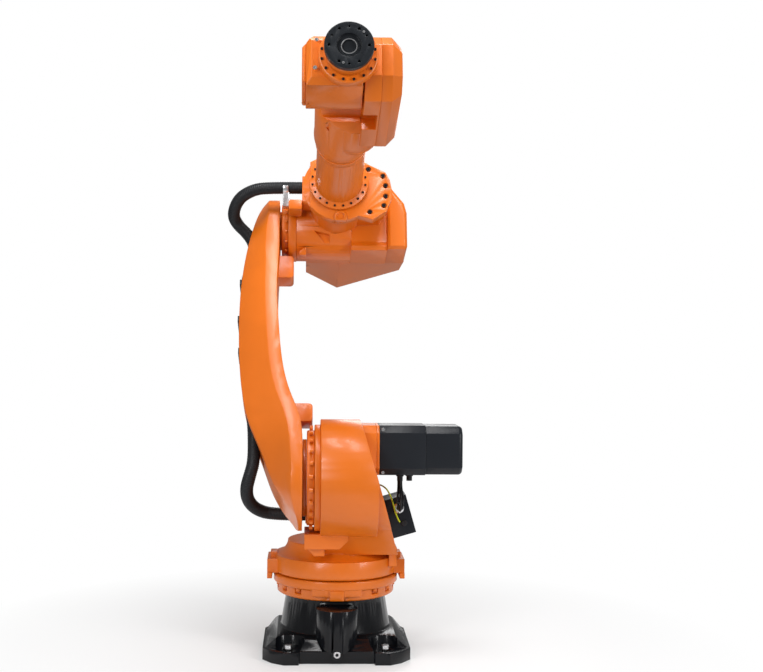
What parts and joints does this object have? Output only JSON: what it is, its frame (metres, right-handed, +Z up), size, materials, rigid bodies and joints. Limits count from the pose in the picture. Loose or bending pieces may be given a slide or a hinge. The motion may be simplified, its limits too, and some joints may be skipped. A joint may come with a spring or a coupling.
{
  "type": "industrial robot arm",
  "caption": "Floor-standing articulated industrial robot arm: cast base, rotating column, one-sided link arm, long forearm, wrist and bolted tool flange",
  "frame": {"origin": "on the floor at the swivel axis, the centre of the base's bolt pattern", "axes": "+Z up along the swivel axis; the forearm and tool flange point to -Y at rest; the shoulder motor is on +X and the link arm on -X"},
  "size_m": [0.7566, 1.6245, 1.7876],
  "materials": {
    "orange_paint": "semi-gloss orange paint on aluminium castings",
    "black_casting": "gloss black paint on a cast iron base",
    "motor_black": "satin black powder coat",
    "flange_black": "black oxide steel",
    "bright_steel": "bright machined steel",
    "black_plastic": "matt black moulded plastic",
    "socket_metal": "plated connector shell",
    "hose_rubber": "black braided protective hose",
    "cable_black": "black cable jacket",
    "earth_green": "yellow and green earth wire jacket"
  },
  "bodies": {
    "base": {"base_frame": "black_casting", "base_plug": "bright_steel", "rear_socket_box": "black_plastic", "rear_sockets": "socket_metal", "swivel_gear_ring": "orange_paint"},
    "column": {"rotating_column": "orange_paint", "shoulder_bolt_ring": "orange_paint", "shoulder_gear_flange": "orange_paint", "motor_adapter_plate": "orange_paint", "shoulder_motor": "motor_black", "shoulder_motor_brake": "motor_black", "motor_plugs": "black_plastic", "swivel_motor": "motor_black", "swivel_motor_brake": "motor_black", "cable_box": "motor_black", "cable_gland": "bright_steel", "cable_box_blank": "black_plastic", "motor_leads": "cable_black", "earth_lead": "earth_green"},
    "link": {"link_arm": "orange_paint", "shoulder_hub": "orange_paint", "elbow_hub": "orange_paint", "link_arm_hose": "hose_rubber", "hose_straps": "black_plastic", "lower_hose": "hose_rubber", "upper_hose": "hose_rubber"},
    "arm": {"elbow_gear_flange": "orange_paint", "elbow_gear_ring": "orange_paint", "arm_housing": "orange_paint", "side_cover": "orange_paint", "rear_cover": "orange_paint", "hose_shelf": "orange_paint", "hose_clamp": "bright_steel"},
    "forearm": {"forearm_tube": "orange_paint", "forearm_end_ring": "orange_paint", "wrist_fork": "orange_paint", "fork_cover": "orange_paint"},
    "wrist": {"wrist_body": "orange_paint", "wrist_end_cover": "orange_paint", "wrist_gear_ring": "orange_paint"},
    "flange": {"flange_neck": "orange_paint", "tool_flange": "flange_black", "flange_bore_insert": "bright_steel"}
  },
  "joints": [
    {"name": "swivel", "type": "hinge", "parent": "base", "child": "column", "pos_m": [0, 0, 0.241], "axis": [0, 0, 1], "range_deg": [-185, 185]},
    {"name": "shoulder", "type": "hinge", "parent": "column", "child": "link", "pos_m": [-0.1, -0.175, 0.565], "axis": [1, 0, 0], "range_deg": [-60, 175], "deforming": ["lower_hose"]},
    {"name": "elbow", "type": "hinge", "parent": "link", "child": "arm", "pos_m": [-0.187, 0.20113, 1.37161], "axis": [-1, 0, 0], "range_deg": [-58, 220], "deforming": ["upper_hose"]},
    {"name": "forearm_roll", "type": "hinge", "parent": "arm", "child": "forearm", "pos_m": [0, -0.09019, 1.50144], "axis": [0, -0.9659, 0.2588], "range_deg": [-350, 350]},
    {"name": "wrist_bend", "type": "hinge", "parent": "forearm", "child": "wrist", "pos_m": [0.05, -0.78566, 1.68779], "axis": [1, 0, 0], "range_deg": [-125, 125]},
    {"name": "flange_turn", "type": "hinge", "parent": "wrist", "child": "flange", "pos_m": [0, -0.91305, 1.71371], "axis": [0, -0.9799, 0.1994], "range_deg": [-350, 350]}
  ]
}
